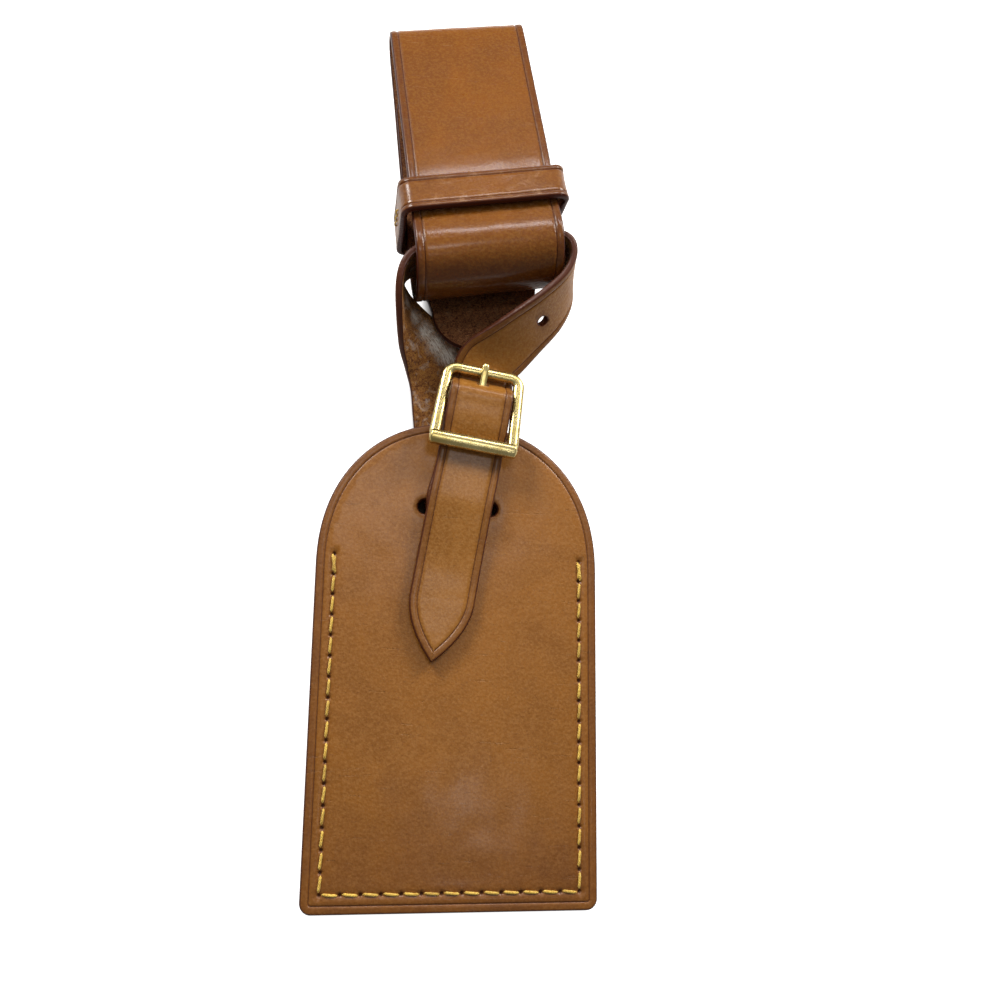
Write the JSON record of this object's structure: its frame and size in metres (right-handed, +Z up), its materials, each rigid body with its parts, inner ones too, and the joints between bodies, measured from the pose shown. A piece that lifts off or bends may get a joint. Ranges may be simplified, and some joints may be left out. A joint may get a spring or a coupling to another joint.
{
  "type": "luggage tag",
  "caption": "Arched leather name-pocket tag on a buckled belt strap with a keeper and a wide snap-closed handle loop.",
  "frame": {"origin": "centre of the footprint, at the surface the tag lies on", "axes": "+Y from the pocket's bottom edge towards the handle loop, +Z up from the surface, +X across the pocket"},
  "size_m": [0.065, 0.2212, 0.0245],
  "materials": {
    "panel_leather": "smooth tan leather, soft gloss",
    "loop_leather": "smooth darker tan leather, polished by handling",
    "brass": "pale gold, polished",
    "thread": "waxed mustard yellow thread",
    "card": "plain stiff card, left blank"
  },
  "bodies": {
    "strap": {"tag_strap": "panel_leather", "fold_thread": "thread"},
    "tag": {"back_panel": "panel_leather", "front_panel": "panel_leather", "seam_thread_a": "thread", "seam_thread_b": "thread"},
    "card": {"name_card": "card"},
    "buckle": {"buckle_frame": "brass"},
    "prong": {"buckle_prong": "brass"},
    "loop": {"handle_loop": "loop_leather", "snap_cap": "brass", "snap_socket": "brass", "snap_stud": "brass", "snap_post": "brass"},
    "keeper": {"keeper": "loop_leather", "keeper_thread": "thread"}
  },
  "joints": [
    {"name": "tag_swing", "type": "hinge", "parent": "strap", "child": "tag", "pos_m": [-0.00045, -0.02143, 0.00419], "axis": [0, -0.0262, 0.9997], "range_deg": [-6, 1]},
    {"name": "card_slide", "type": "slide", "parent": "tag", "child": "card", "axis": [0, 0.9997, 0.0262], "range_m": [0, 0.012]},
    {"name": "buckle_tilt", "type": "hinge", "parent": "strap", "child": "buckle", "pos_m": [0.00355, 0.00224, 0.00901], "axis": [0.989, -0.1478, 0], "range_deg": [-1, 1]},
    {"name": "prong_lift", "type": "hinge", "parent": "buckle", "child": "prong", "pos_m": [0.00355, 0.00224, 0.00901], "axis": [0.989, -0.1478, 0], "range_deg": [0, 6]},
    {"name": "loop_swing", "type": "hinge", "parent": "strap", "child": "loop", "pos_m": [0.004, 0.03935, 0.01436], "axis": [0, 0, 1], "range_deg": [-2, 5]},
    {"name": "keeper_slide", "type": "slide", "parent": "loop", "child": "keeper", "axis": [-0.1061, 0.9928, -0.0549], "range_m": [0, 0.013]}
  ]
}
